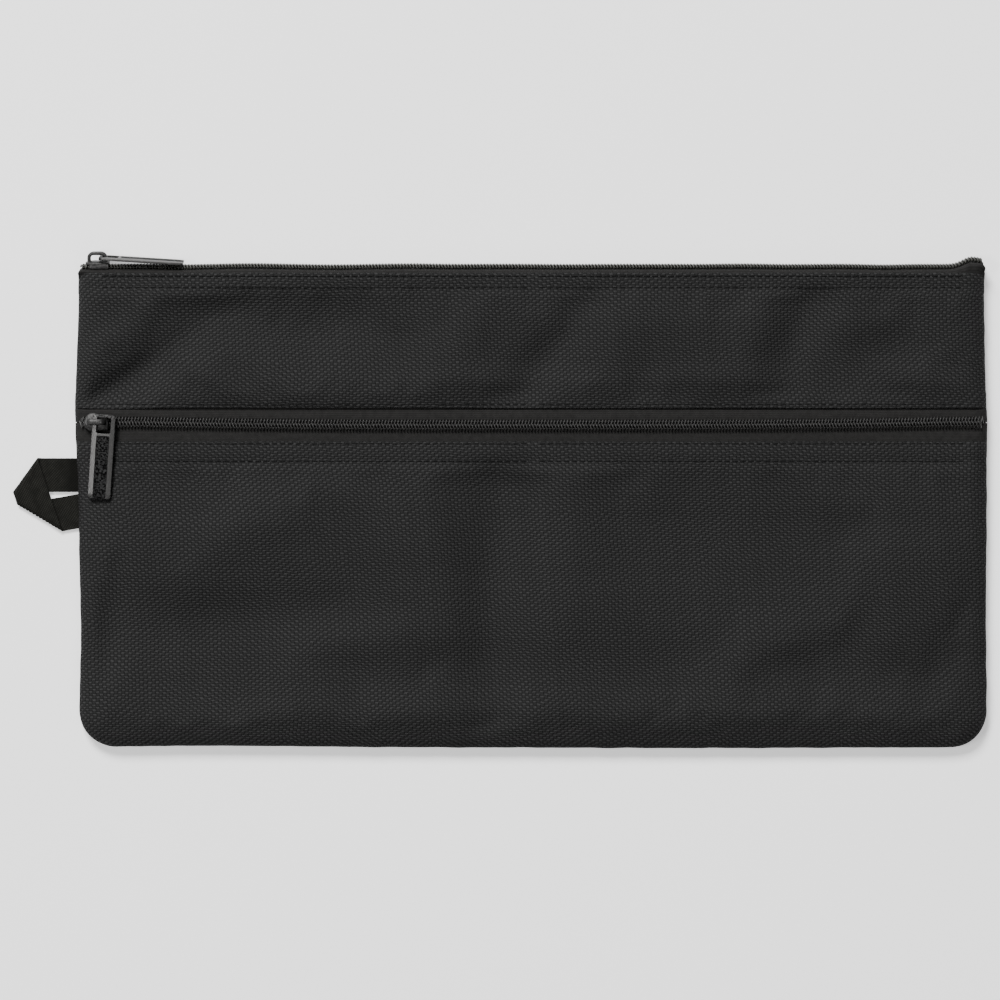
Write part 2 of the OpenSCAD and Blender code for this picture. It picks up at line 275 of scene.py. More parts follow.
def coil_material():
    """Glossy black monofilament with a little dust. On the top zip it is painted lighter and olive: painted
    light for the light falling on that zip, over the shade between coil and tape.
    """
    t = Tree("zip coil")
    place = t.place()
    # Mask of the top zip, where the coil is painted lighter as painted light
    on_top_zip = t.remap(t.axis(place, "Y"), 0.078, 0.082, 0, 1)
    dust = t.remap(t.noise(place, 900, 3.0), 0.4, 0.75, 0, 1)
    clean = t.mix_colour(dust, grey(0.010, 0.03), grey(0.026, 0.04))
    dust_with_painted_light = t.mix_colour(dust, olive(0.030), olive(0.052))
    t.bump(t.noise(place, 4000), 0.02, 0.5)
    colour = t.mix_colour(on_top_zip, clean, dust_with_painted_light)
    return t.finish(colour, t.remap(dust, 0, 1, 0.38, 0.55), Specular_IOR_Level=0.35)


# Share of dark enamel on a metal face: full in a pull's sunk field, and less on a casting. On a pull's ring
# bar the same darkening is painted shade, for the shade under the slider's bridge.
ENAMEL_AND_SHADE = "enamel_and_shade"
RING_PAINTED_SHADE = 0.8
CAST = 0.5


def metal_material():
    """Black nickel plating: satin, with fine handling marks, darker and duller by the share of enamel, and
    by painted shade on a pull's ring bar.
    """
    t = Tree("black nickel")
    place = t.place()
    grain = t.noise(place, 1800, 3.0, 0.6)
    marks = t.remap(t.noise(place, 600, 4.0, 0.7), 0.55, 0.75, 0, 1)
    enamel_and_shade = t.add("ShaderNodeAttribute", "Fac", {}, attribute_name=ENAMEL_AND_SHADE)
    plating = t.mix_colour(marks, grey(0.085, 0.015), grey(0.105, 0.015))
    pebble = t.remap(t.noise(place, 1500), 0.42, 0.62, 0, 1)
    pebbled = t.mix_colour(pebble, grey(0.004), grey(0.045))
    roughness = t.remap(grain, 0.3, 0.7, 0.42, 0.50) + marks * 0.06 + enamel_and_shade * 0.2
    t.bump(grain + pebble * enamel_and_shade * 25, 0.004, 0.5)
    return t.finish(t.mix_colour(enamel_and_shade, plating, pebbled), roughness, Metallic=1.0)


def webbing_material():
    """Narrow twill webbing, slightly olive black: slanted floats, with painted shade beside the seam where
    the strap dips into it.
    """
    t = Tree("webbing")
    uv, x, y = t.cloth_uv()
    slanted = x + y * 0.9 + (t.noise(uv, 0.3, 1.0) - 0.5) * 0.5
    diagonal = t.remap(t.wave(slanted, 0.52), -0.9, 0.9, 0.25, 1)
    floats = t.remap(t.wave(x - y * 1.1, 0.5), -1, 1, 0.5, 1)
    fray = t.remap(t.noise(t.stretched(uv, 4, 1.5), 1.0), 0.35, 0.65, 0.55, 1)
    twill = diagonal * floats * fray
    # The strap's first millimetres from the seam are painted darker: painted shade where it dips into the
    # seam
    tone = t.remap(t.noise(uv, 0.35, 3.0), 0.3, 0.7, 0.6, 1.4) * t.remap(x, 3, 7, 0.3, 1)
    t.bump(twill, 0.2)
    return t.finish(t.mix_colour(twill * tone, olive(0.004), olive(0.022)), 0.85, Specular_IOR_Level=0.05)


def thread_material():
    """Twisted sewing thread."""
    t = Tree("thread")
    twist = t.noise(t.place(), 2500)
    t.bump(twist, 0.04, 0.6)
    return t.finish(t.mix_colour(twist, grey(0.004), grey(0.013)), 0.85, Specular_IOR_Level=0.04)


def lining_material():
    """Thin plain nylon."""
    t = Tree("lining")
    uv, x, y = t.cloth_uv()
    crease = t.noise(uv, 0.08, 3.0)
    t.bump(t.wave(x, 0.35) * t.wave(y, 0.35) * 0.2 + crease, 0.25, 0.5)
    colour = t.mix_colour(t.remap(crease, 0.3, 0.7, 0, 1), grey(0.016), grey(0.026))
    return t.finish(colour, 0.5, Sheen_Weight=0.05)


def binding_material():
    """Ribbed binding tape."""
    t = Tree("binding")
    uv, x = t.cloth_uv()[:2]
    rib = abs(t.wave(x, 0.8))
    tone = t.remap(t.noise(uv, 0.4, 3.0), 0.3, 0.7, 0.8, 1.2)
    t.bump(rib, 0.15, 0.7)
    return t.finish(t.mix_colour(rib * tone, grey(0.003), grey(0.014)), 0.8, Specular_IOR_Level=0.08)


def floor_material():
    t = Tree("floor")
    colour = t.mix_colour(t.noise(t.place(), 1.5), grey(0.90), grey(0.93))
    return t.finish(colour, 0.9, Specular_IOR_Level=0.1, Emission_Color=grey(1), Emission_Strength=0.55)


# ---- mesh building

class Shape:
    """Points and faces of one piece in millimetres, with cloth coordinates."""

    def __init__(self):
        self.points = []
        self.cloth = []
        self.faces = []

    def grid(self, rows, cloth=None, flip=False):
        """Faces between rows of points. Faces look up where X grows along a row and Y from row to row."""
        start = len(self.points)
        count = len(rows[0])
        for r, row in enumerate(rows):
            self.points += [Vector(p) for p in row]
            self.cloth += [cloth[r][c] if cloth else (row[c][0], row[c][1]) for c in range(count)]
        for r in range(len(rows) - 1):
            for c in range(count - 1):
                a = start + r * count + c
                face = [a, a + 1, a + 1 + count, a + count]
                self.faces.append(face[::-1] if flip else face)

    def tube(self, start, rings, sides):
        """Faces between rings of points, and over both ends."""
        for a in range(start, start + (rings - 1) * sides, sides):
            for k in range(sides):
                k2 = (k + 1) % sides
                self.faces.append([a + k, a + k2, a + sides + k2, a + sides + k])
        last = start + (rings - 1) * sides
        self.faces += [list(range(start, start + sides))[::-1], list(range(last, last + sides))]

    def sweep(self, path, normals, section):
        """Bar along a path. The section's points are (along the normal, across it)."""
        start = len(self.points)
        normals = [normals] * len(path) if isinstance(normals, Vector) else normals
        length = 0
        for i, p in enumerate(path):
            along = (path[min(i + 1, len(path) - 1)] - path[max(i - 1, 0)]).normalized()
            normal = (normals[i] - along * normals[i].dot(along)).normalized()
            across = along.cross(normal)
            length += (p - path[i - 1]).length if i else 0
            self.points += [p + normal * s[0] + across * s[1] for s in section]
            self.cloth += [(length, s[1]) for s in section]
        self.tube(start, len(path), len(section))

    def plate(self, outline, levels):
        """Solid plate: the outline, counter-clockwise, pulled in by an inset at each height."""
        start = len(self.points)
        for inset, z in levels:
            ring = inset_outline(outline, inset)
            self.points += [Vector((x, y, z)) for x, y in ring]
            self.cloth += ring
        self.tube(start, len(levels), len(outline))

    def move(self, placed):
        """Sends every point through a function."""
        self.points = [Vector(placed(*p)) for p in self.points]

    def build(self, name, material, thickness=0.0, offset=-1):
        """Makes the object. A thickness goes below the faces, or to both sides for an offset of 0."""
        mesh = bpy.data.meshes.new(name)
        mesh.from_pydata([p * MM for p in self.points], [], self.faces)
        layer = mesh.uv_layers.new(name=CLOTH_UV)
        for loop in mesh.loops:
            layer.data[loop.index].uv = self.cloth[loop.vertex_index]
        mesh.materials.append(material)
        work = bmesh.new()
        work.from_mesh(mesh)
        bmesh.ops.remove_doubles(work, verts=work.verts, dist=0.002 * MM)
        for edge in work.edges:
            edge.smooth = not edge.is_boundary
        work.to_mesh(mesh)
        work.free()
        mesh.shade_smooth()
        obj = new_object(name, mesh)
        if thickness:
            assign(obj.modifiers.new("thickness", "SOLIDIFY"), thickness=thickness * MM, offset=offset)
        return obj


def inset_outline(outline, inset):
    """Outline shrunk about its middle, so that its box is smaller by the inset on each side."""
    xs, ys = [p[0] for p in outline], [p[1] for p in outline]
    cx, cy = (min(xs) + max(xs)) / 2, (min(ys) + max(ys)) / 2
    keep_x = 1 - inset / (max(xs) - cx)
    keep_y = 1 - inset / (max(ys) - cy)
    return [(cx + (x - cx) * keep_x, cy + (y - cy) * keep_y) for x, y in outline]


def arc(centre, radius, start, end, steps):
    """Points of an arc, in degrees."""
    turns = [math.radians(start + (end - start) * i / steps) for i in range(steps + 1)]
    return [(centre[0] + radius * math.cos(a), centre[1] + radius * math.sin(a)) for a in turns]


def rounded_box(x0, x1, y0, y1, radius, steps=4):
    """Counter-clockwise rectangle with round corners."""
    return (arc((x1 - radius, y0 + radius), radius, -90, 0, steps)
            + arc((x1 - radius, y1 - radius), radius, 0, 90, steps)
            + arc((x0 + radius, y1 - radius), radius, 90, 180, steps)
            + arc((x0 + radius, y0 + radius), radius, 180, 270, steps))


def oval(half_a, half_b, sides, power=1.0):
    """Section of a bar: an oval, or a softened rectangle for a power under 1."""
    def softened(half, share):
        return half * math.copysign(abs(share) ** power, share)
    turns = [2 * math.pi * (i + 0.5) / sides for i in range(sides)]
    return [(softened(half_a, math.cos(a)), softened(half_b, math.sin(a))) for a in turns]


def eased(width, steps):
    """Distances over a round edge: close together at first. The width itself is left out."""
    return [width * (1 - math.cos(math.radians(90 * i / steps))) for i in range(steps)]


def steps_between(start, end, step):
    """Even steps from start to end, both included."""
    count = max(1, round(abs(end - start) / step))
    return [start + (end - start) * i / count for i in range(count + 1)]


def ripple(x, y, z=0):
    """Smooth random value about 0."""
    return noise.noise(Vector((x, y, z)))


def boolean(obj, other, operation="UNION"):
    """Joins or cuts two solids, and removes the second."""
    step = obj.modifiers.new("boolean", "BOOLEAN")
    assign(step, operation=operation, solver="EXACT", object=other)
    bpy.context.view_layer.update()
    result = bpy.data.meshes.new_from_object(evaluated(obj))
    obj.modifiers.clear()
    obj.data = result
    bpy.data.objects.remove(other)


def soften_edges(obj, width):
    """Small round edges on a hard solid."""
    step = obj.modifiers.new("edges", "BEVEL")
    assign(step, width=width * MM, segments=2, limit_method="ANGLE", angle_limit=math.radians(35))
    obj.data.shade_smooth()
    obj.data.set_sharp_from_angle(angle=math.radians(50))


# ---- shape of the case

# Outline and the edges beside the zips, from the frame
HALF_W, BACK_TOP_Y = corners_mm("back_panel")[1].xy
BOTTOM_Y = corners_mm("back_panel")[0].y
TOP_EDGE_Y = corners_mm("front_upper_panel")[1].y
UPPER_EDGE_Y = corners_mm("front_upper_panel")[0].y
LOWER_EDGE_Y = corners_mm("front_lower_panel")[1].y
CORNER_R = 14

# Front face
SEAM_Z = 4.2
ZIP_FACE_Z = 9.4
TOP_FACE_Z = 10.65
LOWER_BULGE = -0.5
UPPER_BULGE = 0.4
SIDE_RISE = 8
SIDE_SLOPE = 70
BOTTOM_RISE = 10
HEM_TOP = 10
HEM_ZIP = 9

# Cloth
CANVAS_T = 0.42
HEM_R = 0.45
HEM_DEPTH = 8
GROOVE_Z = 2.15
GROOVE_IN = 1.1
ROLL_STEPS = 4
STEP_X = 1.9
STEP_Y = 1.8


def clamp01(t):
    return max(0.0, min(1.0, t))


def round_rise(d, width):
    return math.sqrt(1 - (1 - clamp01(d / width)) ** 2)


def soft_rise(d, width):
    t = clamp01(d / width)
    return t * t * (3 - 2 * t)


def hump(distance, width):
    """Soft bump: 1 at the middle, and almost 0 at twice the width."""
    return math.exp(-(distance / width) ** 2)


def half_width_at(y):
    down = CORNER_R - min(CORNER_R, y - BOTTOM_Y)
    return HALF_W - CORNER_R + math.sqrt(max(0, CORNER_R ** 2 - down ** 2))


def face_level(y):
    if y > UPPER_EDGE_Y - 1:
        rise = soft_rise(y - UPPER_EDGE_Y - 4, TOP_EDGE_Y - UPPER_EDGE_Y - 10)
        return ZIP_FACE_Z + (TOP_FACE_Z - ZIP_FACE_Z) * rise
    return SEAM_Z + (ZIP_FACE_Z - SEAM_Z) * round_rise(y - BOTTOM_Y, BOTTOM_RISE)


def bulge_at(y):
    if y > UPPER_EDGE_Y - 1:
        bulge = UPPER_BULGE * soft_rise(y - UPPER_EDGE_Y - HEM_ZIP, 12)
        return bulge * soft_rise(TOP_EDGE_Y - HEM_TOP - y, 12)
    return LOWER_BULGE * soft_rise(LOWER_EDGE_Y - HEM_ZIP - y, 46) * soft_rise(y - BOTTOM_Y, 50)


def face_z(x, y):
    """Height of the front face. Its side roll is tighter beside the front zip."""
    d = half_width_at(y) - abs(x)
    rise = SIDE_RISE - 3.2 * hump(y - (UPPER_EDGE_Y + LOWER_EDGE_Y) / 2, 13)
    swell = soft_rise(d, SIDE_SLOPE) * bulge_at(y)
    return SEAM_Z + round_rise(d, rise) * (face_level(y) - SEAM_Z) + swell


# Soft folds of the front face: middle, half length, half width, direction in degrees, and height
Fold = namedtuple("Fold", "x y length width turn height")
UPPER_FOLDS = [
    Fold(-150, 45, 30, 7.5, 35, -4.4),
    Fold(-155, 46.5, 22, 3.6, 35, -1.3),
    Fold(-160, 60, 26, 7, 33, 1.6),
    Fold(-88, 68, 60, 12, 2, -3.6),
    Fold(-118, 84, 42, 7, 2, 1.8),
    Fold(-86, 43, 58, 8, 0, 1.5),
    Fold(-122, 49, 12, 5, -30, 1.4),
    Fold(5, 55, 26, 8, 50, -3.0),
    Fold(-26, 62, 22, 11, 55, 1.2),
    Fold(30, 66, 26, 12, 60, 0.8),
    Fold(101, 68, 20, 8, 62, -2.6),
    Fold(84, 66, 18, 9, 65, 0.9),
    Fold(130, 58, 28, 10, 20, -1.2),
    Fold(-20, 47, 26, 5, 0, 1.3),
    Fold(60, 47, 40, 5, 2, 1.4),
    Fold(146, 47, 14, 5, -8, 1.3),
]
LOWER_FOLDS = [
    Fold(-118, 14, 34, 9, 12, -1.2),
    Fold(-105, -6, 36, 10, 20, 2.4),
    Fold(-114, -44, 44, 12, 6, -2.6),
    Fold(-14, -29, 74, 12, 88, -4.4),
    Fold(12, -24, 50, 14, 86, 1.2),
    Fold(-46, -26, 44, 11, 86, 0.4),
    Fold(-62, -50, 30, 8, 4, 1.2),
    Fold(70, -16, 60, 22, -8, -2.2),
    Fold(132, -22, 34, 14, 12, 1.5),
    Fold(84, -56, 22, 7, 20, 1.0),
    Fold(-158, -42, 18, 6, 82, -1.4),
    Fold(-60, -78, 90, 7, 1, 1.4),
    Fold(100, -78, 60, 7, -1, 1.4),
    Fold(20, -60, 140, 11, 0, -1.3),
    Fold(165, -36, 10, 5, 70, -0.8),
]


def fold_height(folds, x, y):
    """Sum of the soft folds at a point, with small uneven waves of the cloth."""
    total = 0
    for f in folds:
        turn = math.radians(f.turn)
        along = (x - f.x) * math.cos(turn) + (y - f.y) * math.sin(turn)
        across = (y - f.y) * math.cos(turn) - (x - f.x) * math.sin(turn)
        total += f.height * hump(along, f.length) * hump(across, f.width)
    waves = noise.fractal(Vector((x / 38, y / 26, 3)), 0.9, 2.2, 3)
    return total + 0.3 * waves


def pucker(x, seed, pitch=9):
    """Uneven gathers along a seam, from 0 to 1."""
    return 0.5 + 0.5 * ripple(x / pitch, seed)


def seam_dip(y, row, depth, width):
    """Groove that a row of stitches pulls into the cloth."""
    return -depth * hump(y - row, width)


UPPER_ROW = UPPER_EDGE_Y + 1.5
LOWER_ROWS = (LOWER_EDGE_Y - 0.9, LOWER_EDGE_Y - 7.4)
TOP_ROWS = (TOP_EDGE_Y - 1.3, TOP_EDGE_Y - 5.5)


def upper_surface(x, y):
    d = half_width_at(y) - abs(x)
    inner = soft_rise(d, 8) * soft_rise(y - UPPER_EDGE_Y + 2, 7) * soft_rise(TOP_EDGE_Y - 2 - y, 8)
    z = face_z(x, y) + inner * fold_height(UPPER_FOLDS, x, y)
    side = soft_rise(d, 5)
    z += side * seam_dip(y, UPPER_ROW, 0.2, 0.8) + side * seam_dip(y, TOP_ROWS[1], 0.55, 1.0)
    z += side * 0.35 * hump(y - (TOP_ROWS[1] - 3.5), 3) * (pucker(x, 5) - 0.3)
    z += side * 0.3 * hump(y - (UPPER_ROW + 4), 3) * (pucker(x, 9, 12) - 0.5)
    return z + settled("upper", x, y)


def lower_surface(x, y):
    d = half_width_at(y) - abs(x)
    inner = soft_rise(d, 8) * soft_rise(y - BOTTOM_Y - 2, 10) * soft_rise(LOWER_EDGE_Y - 3 - y, 15)
    z = face_z(x, y) + inner * fold_height(LOWER_FOLDS, x, y)
    side = soft_rise(d, 5)
    z += side * seam_dip(y, LOWER_ROWS[0], 0.2, 0.7) + side * seam_dip(y, LOWER_ROWS[1], 0.55, 1.0)
    z += side * 0.4 * hump(y - (LOWER_ROWS[1] - 3.5), 3) * (pucker(x, 13) - 0.3)
    return z + settled("lower", x, y)


# How far the cloth simulation moved each panel, as a function of a point
SETTLED = {}


def settled(panel, x, y):
    return SETTLED[panel](x, y) if panel in SETTLED else 0.0


# Cloth simulation: run ten times larger than life, where Blender's cloth is steadiest
SIM_SCALE = 0.01
SIM_STEP = 3.6
SIM_SIDE = 7
SIM_FRAMES = 22
SIM_CAP = 1.3


def settle(panel, surface, low_y, high_y, slack, pressure):
    """Lets a sewn panel settle under slack and a little pressure, held all round by its seams.

    Leaves in SETTLED how far each point rose or sank, in millimetres.
    """
    xs = steps_between(-(HALF_W - SIM_SIDE), HALF_W - SIM_SIDE, SIM_STEP)
    ys = steps_between(low_y, high_y, SIM_STEP)
    width = len(xs)
    last_x, last_y = width - 1, len(ys) - 1
    start = [surface(x, y) for y in ys for x in xs]
    points = [(x * SIM_SCALE, y * SIM_SCALE, start[j * width + i] * SIM_SCALE)
              for j, y in enumerate(ys) for i, x in enumerate(xs)]
    faces = [(a, a + 1, a + 1 + width, a + width)
             for j in range(last_y) for a in range(j * width, j * width + last_x)]
    mesh = bpy.data.meshes.new("settling")
    mesh.from_pydata(points, [], faces)
    cloth = new_object("settling", mesh)
    edge = [j * width + i for j in range(last_y + 1) for i in range(width)
            if i in (0, last_x) or j in (0, last_y)]
    cloth.vertex_groups.new(name="pins").add(edge, 1.0, "REPLACE")
    modifier = cloth.modifiers.new("cloth", "CLOTH")
    assign(modifier.point_cache, frame_start=1, frame_end=SIM_FRAMES)
    modifier.collision_settings.use_collision = False
    assign(modifier.settings, quality=6, mass=0.3, vertex_group_mass="pins", tension_stiffness=30,
           compression_stiffness=30, shear_stiffness=12, bending_stiffness=1.5, shrink_min=-slack,
           use_pressure=True, uniform_pressure_force=pressure)
    modifier.settings.effector_weights.gravity = 0
    scene = bpy.context.scene
    first = scene.frame_current
    for number in range(1, SIM_FRAMES + 1):
        scene.frame_set(number)
    moved = [v.co.z / SIM_SCALE - z for v, z in zip(evaluated(cloth).data.vertices, start)]
    scene.frame_set(first)
    bpy.data.objects.remove(cloth)
    bpy.data.meshes.remove(mesh)
    rise = [SIM_CAP * math.tanh(v / SIM_CAP) for v in moved]

    def field(x, y):
        across = clamp01((x - xs[0]) / (xs[-1] - xs[0])) * last_x
        up = clamp01((y - ys[0]) / (ys[-1] - ys[0])) * last_y
        i, j = min(int(across), last_x - 1), min(int(up), last_y - 1)
        u, v = soft_rise(across - i, 1), soft_rise(up - j, 1)
        a = j * width + i
        low = rise[a] * (1 - u) + rise[a + 1] * u
        high = rise[a + width] * (1 - u) + rise[a + width + 1] * u
        return low * (1 - v) + high * v

    SETTLED[panel] = field


def edge_wave(x, y):
    """Small wander of the sewn outline: the seams aren't quite straight."""
    near_side = clamp01((abs(x) - 60) / (HALF_W - 60)) ** 3
    near_bottom = clamp01(-y / -BOTTOM_Y) ** 4 if y < 0 else 0
    if x < 0:
        side = -1.3 * hump(y - 38, 26) + 0.7 * hump(y + 48, 22)
    else:
        side = -1.0 * soft_rise(y - 20, 60) - 0.3 * hump(y + 40, 20)
    side += 0.22 * ripple(y / 7, 2 if x < 0 else 5)
    lift = 0.6 * hump(x + 120, 50) - 0.25 * hump(x - 60, 60) + 0.22 * ripple(x / 8, 8)
    return near_side * side, near_bottom * lift


def waved(point):
    dx, dy = edge_wave(point.x, point.y)
    return Vector((point.x + dx, point.y + dy, point.z))


# ---- front panels

def side_distances():
    """Distances in from the side seam: close together on the roll, then even."""
    return eased(SIDE_RISE, 8) + steps_between(SIDE_RISE, HALF_W, STEP_X)


def inward_from(x, y):
    """Direction into the case from a point of its outline."""
    side = 1 if x > 0 else -1
    centre = Vector((side * (HALF_W - CORNER_R), BOTTOM_Y + CORNER_R, 0))
    if y > centre.y:
        return Vector((-side, 0, 0))
    if abs(x) < abs(centre.x):
        return Vector((0, 1, 0))
    return (centre - Vector((x, y, 0))).normalized()


def rolled_in(point, depth, drop):
    """Points that roll from the outline into the seam, after the first."""
    inward = inward_from(point.x, point.y)
    turns = [math.radians(90 * i / ROLL_STEPS) for i in range(1, ROLL_STEPS + 1)]
    return [point + inward * depth * (1 - math.cos(a)) + Vector((0, 0, drop * math.sin(a))) for a in turns]


def rolled_edge(points, marks, depth, drop, step):
    """Lines that roll from an edge into a seam, and their cloth marks, each one step further."""
    lines = [[p] + rolled_in(p, depth, drop) for p in points]
    cloth = [[(u + step[0] * i, v + step[1] * i) for i in range(ROLL_STEPS + 1)] for u, v in marks]
    return lines, cloth


def turned_rows(rows):
    """Columns of a grid as its rows, last column first."""
    return [list(column) for column in zip(*rows)][::-1]


def row_normals(rows):
    """Unit normals of a grid of points."""
    normals = []
    for r, row in enumerate(rows):
        below, above = rows[max(r - 1, 0)], rows[min(r + 1, len(rows) - 1)]
        along = [row[min(c + 1, len(row) - 1)] - row[max(c - 1, 0)] for c in range(len(row))]
        normals.append([a.cross(high - low).normalized() for a, low, high in zip(along, below, above)])
    return normals


def add_hem(rows, normals):
    """Rows that turn under at the end of a grid and run back below it."""
    added = []
    for i in range(1, 7):
        a = math.radians(180 * i / 6)
        line = []
        for p, behind, n in zip(rows[-1], rows[-2], normals[-1]):
            ahead = (p - behind).normalized()
            line.append(p - n * HEM_R + (n * math.cos(a) + ahead * math.sin(a)) * HEM_R)
        added.append(line)
    for row, line in zip(rows[-2:0:-1], normals[-2:0:-1]):
        if (rows[-1][0] - row[0]).length > HEM_DEPTH:
            break
        added.append([p - n * 2 * HEM_R for p, n in zip(row, line)])
    return rows + added


def cloth_lengths(rows):
    """Cloth coordinates of a grid: lengths along its middle row and column."""
    middle = len(rows) // 2
    v = [0.0]
    column = min(range(len(rows[0])), key=lambda c: abs(rows[0][c].x))
    for r in range(1, len(rows)):
        v.append(v[-1] + (rows[r][column] - rows[r - 1][column]).length)
    v = [value - v[middle] + rows[middle][column].y for value in v]
    lengths = []
    for r, row in enumerate(rows):
        u = [0.0] * len(row)
        for c in range(column + 1, len(row)):
            u[c] = u[c - 1] + (row[c] - row[c - 1]).length
        for c in range(column - 1, -1, -1):
            u[c] = u[c + 1] - (row[c] - row[c + 1]).length
        lengths.append([(u[c] + row[column].x, v[r]) for c in range(len(row))])
    return lengths


def front_panel(name, side, surface, ys, hem_low):
    """Half of a front panel: its face, its hems, and its edges rolled into the seams."""
    distances = side_distances()[::-side]
    rows = []
    for y in ys:
        xs = [side * half_width_at(y) * (1 - d / HALF_W) for d in distances]
        rows.append([Vector((x, y, surface(x, y))) for x in xs])
    normals = row_normals(rows)
    under = add_hem(rows[::-1], normals[::-1])[len(rows):][::-1] if hem_low else []
    rows = [[waved(p) for p in row] for row in under + add_hem(rows, normals)]
    cloth = cloth_lengths(rows)
    shape = Shape()
    shape.grid(rows, cloth)
    edge = 0 if side < 0 else -1
    drop = GROOVE_Z - SEAM_Z
    marks = [line[edge] for line in cloth]
    roll = rolled_edge([row[edge] for row in rows], marks, GROOVE_IN, drop, (0.7 * side, 0))
    shape.grid(*([line[::side] for line in part] for part in roll))
    if not hem_low:
        shape.grid(*map(turned_rows, rolled_edge(rows[0], cloth[0], GROOVE_IN, drop, (0, -0.7))))
    return shape.build(name, CANVAS, CANVAS_T)


def upper_rows():
    return steps_between(UPPER_EDGE_Y + HEM_R, TOP_EDGE_Y - HEM_R, STEP_Y)


def lower_rows():
    roll = [BOTTOM_Y + d for d in eased(BOTTOM_RISE, 14)]
    return roll + steps_between(BOTTOM_Y + BOTTOM_RISE, LOWER_EDGE_Y - HEM_R, STEP_Y)


# ---- back panel, lining and binding

BACK_EDGE_Z = 1.4
BACK_EDGE_IN = 2.5
BACK_ROW_Y = TOP_EDGE_Y - 2
BACK_STEP = 3.2


def outline_distance(x, y):
    """Distance in from the sides, the bottom and its round corners."""
    cx, cy = HALF_W - CORNER_R, BOTTOM_Y + CORNER_R
    if abs(x) > cx and y < cy:
        return CORNER_R - math.hypot(abs(x) - cx, y - cy)
    return min(HALF_W - abs(x), y - BOTTOM_Y)


def back_surface(x, y):
    edge = BACK_EDGE_Z * (1 - round_rise(outline_distance(x, y), BACK_EDGE_IN))
    soft = 0.35 * clamp01(ripple(x / 45, y / 30, 7)) * soft_rise(outline_distance(x, y) - 3, 20)
    return edge + soft + 0.32 * hump(y - BACK_ROW_Y, 0.9)


def back_panel():
    distances = eased(BACK_EDGE_IN, 4) + steps_between(BACK_EDGE_IN, HALF_W, BACK_STEP)
    shares = [-(HALF_W - d) / HALF_W for d in distances]
    shares += [-s for s in shares[-2::-1]]
    ys = [BOTTOM_Y + d for d in eased(CORNER_R, 12)]
    ys += steps_between(BOTTOM_Y + CORNER_R, BACK_TOP_Y - HEM_DEPTH, BACK_STEP)
    ys += steps_between(BACK_TOP_Y - HEM_DEPTH, BACK_TOP_Y - HEM_R, 0.9)[1:]
    spots = [[(s * half_width_at(y), y) for s in shares] for y in ys]
    rows = [[Vector((x, y, back_surface(x, y))) for x, y in line] for line in spots]
    normals = [[-n for n in line] for line in row_normals(rows)]
    rows = [[waved(p) for p in row] for row in add_hem(rows, normals)]
    cloth = cloth_lengths(rows)
    shape = Shape()
    shape.grid(rows, cloth, flip=True)
    drop = GROOVE_Z - BACK_EDGE_Z
    for edge in (0, -1):
        roll = rolled_edge([row[edge] for row in rows], [line[edge] for line in cloth], 1.0, drop, (0.4, 0))
        shape.grid(*roll, flip=edge < 0)
    shape.grid(*map(turned_rows, rolled_edge(rows[0], cloth[0], 1.0, drop, (0, -0.4))), flip=True)
    return shape.build("back_panel_cloth", CANVAS, CANVAS_T)


def pocket_lining():
    """Thin sheet behind the pocket, turned up behind the front zip's upper tape."""
    low, high = corners_mm("pocket_lining")
    turn = 1.2
    flat_z = low.z + 0.2 + turn
    pocket_top = LOWER_EDGE_Y - HEM_ZIP
    profile = [(y, low.z + 0.2) for y in steps_between(low.y, high.y - turn, 4)]
    profile += arc((high.y - turn, flat_z), turn, -90, 0, 5)[1:]
    profile += [(high.y, z) for z in steps_between(flat_z, high.z, 0.8)[1:]]
    rows = []
    for y, z in profile:
        reach = high.x - (HALF_W - half_width_at(min(y - 4, 0))) * 0.9
        line = []
        for x in [reach * share for share in steps_between(-1, 1, 0.024)]:
            calm = soft_rise(high.x - abs(x), 20) * soft_rise(y - low.y, 20)
            calm *= soft_rise(high.y - 3 - y, 15)
            sink = max(0, high.z - upper_surface(x, high.y) + 1.7) * soft_rise(y - pocket_top, 20)
            height = z + 0.5 * calm * ripple(x / 25, y / 25, 11) - sink
            if y < pocket_top:
                height = min(height, lower_surface(x, y) - 1.4)
            line.append(Vector((x, y, height)))
        rows.append(line)
    shape = Shape()
    shape.grid(rows, cloth_lengths(rows))
    return shape.build("pocket_lining_cloth", LINING, 0.2)


def seam_binding():
    """Binding tape folded over the seam allowance, along the sides and the bottom."""
    low, high = corners_mm("seam_binding")
    inset, width, thick = 2.0, 8.0, high.z - low.z
    radius = CORNER_R - inset - width / 2
    edge_x = HALF_W - inset - width / 2
    edge_y = BOTTOM_Y + inset + width / 2
    route = [(-edge_x, y) for y in steps_between(high.y, edge_y + radius, 5)]
    route += arc((-edge_x + radius, edge_y + radius), radius, 180, 270, 6)[1:]
    route += [(x, edge_y) for x in steps_between(-edge_x + radius, edge_x - radius, 5)[1:]]
    route += arc((edge_x - radius, edge_y + radius), radius, 270, 360, 6)[1:]
    route += [(edge_x, y) for y in steps_between(edge_y + radius, high.y, 5)[1:]]
    middle = (low.z + high.z) / 2
    path = [Vector((x, y, middle + 0.1 * ripple(i / 2, 0, 4))) for i, (x, y) in enumerate(route)]
    shape = Shape()
    shape.sweep(path, UP, oval(thick / 2 - 0.08, width / 2, 14, 0.55))
    return shape.build("seam_binding_tape", BINDING)


# ---- zips

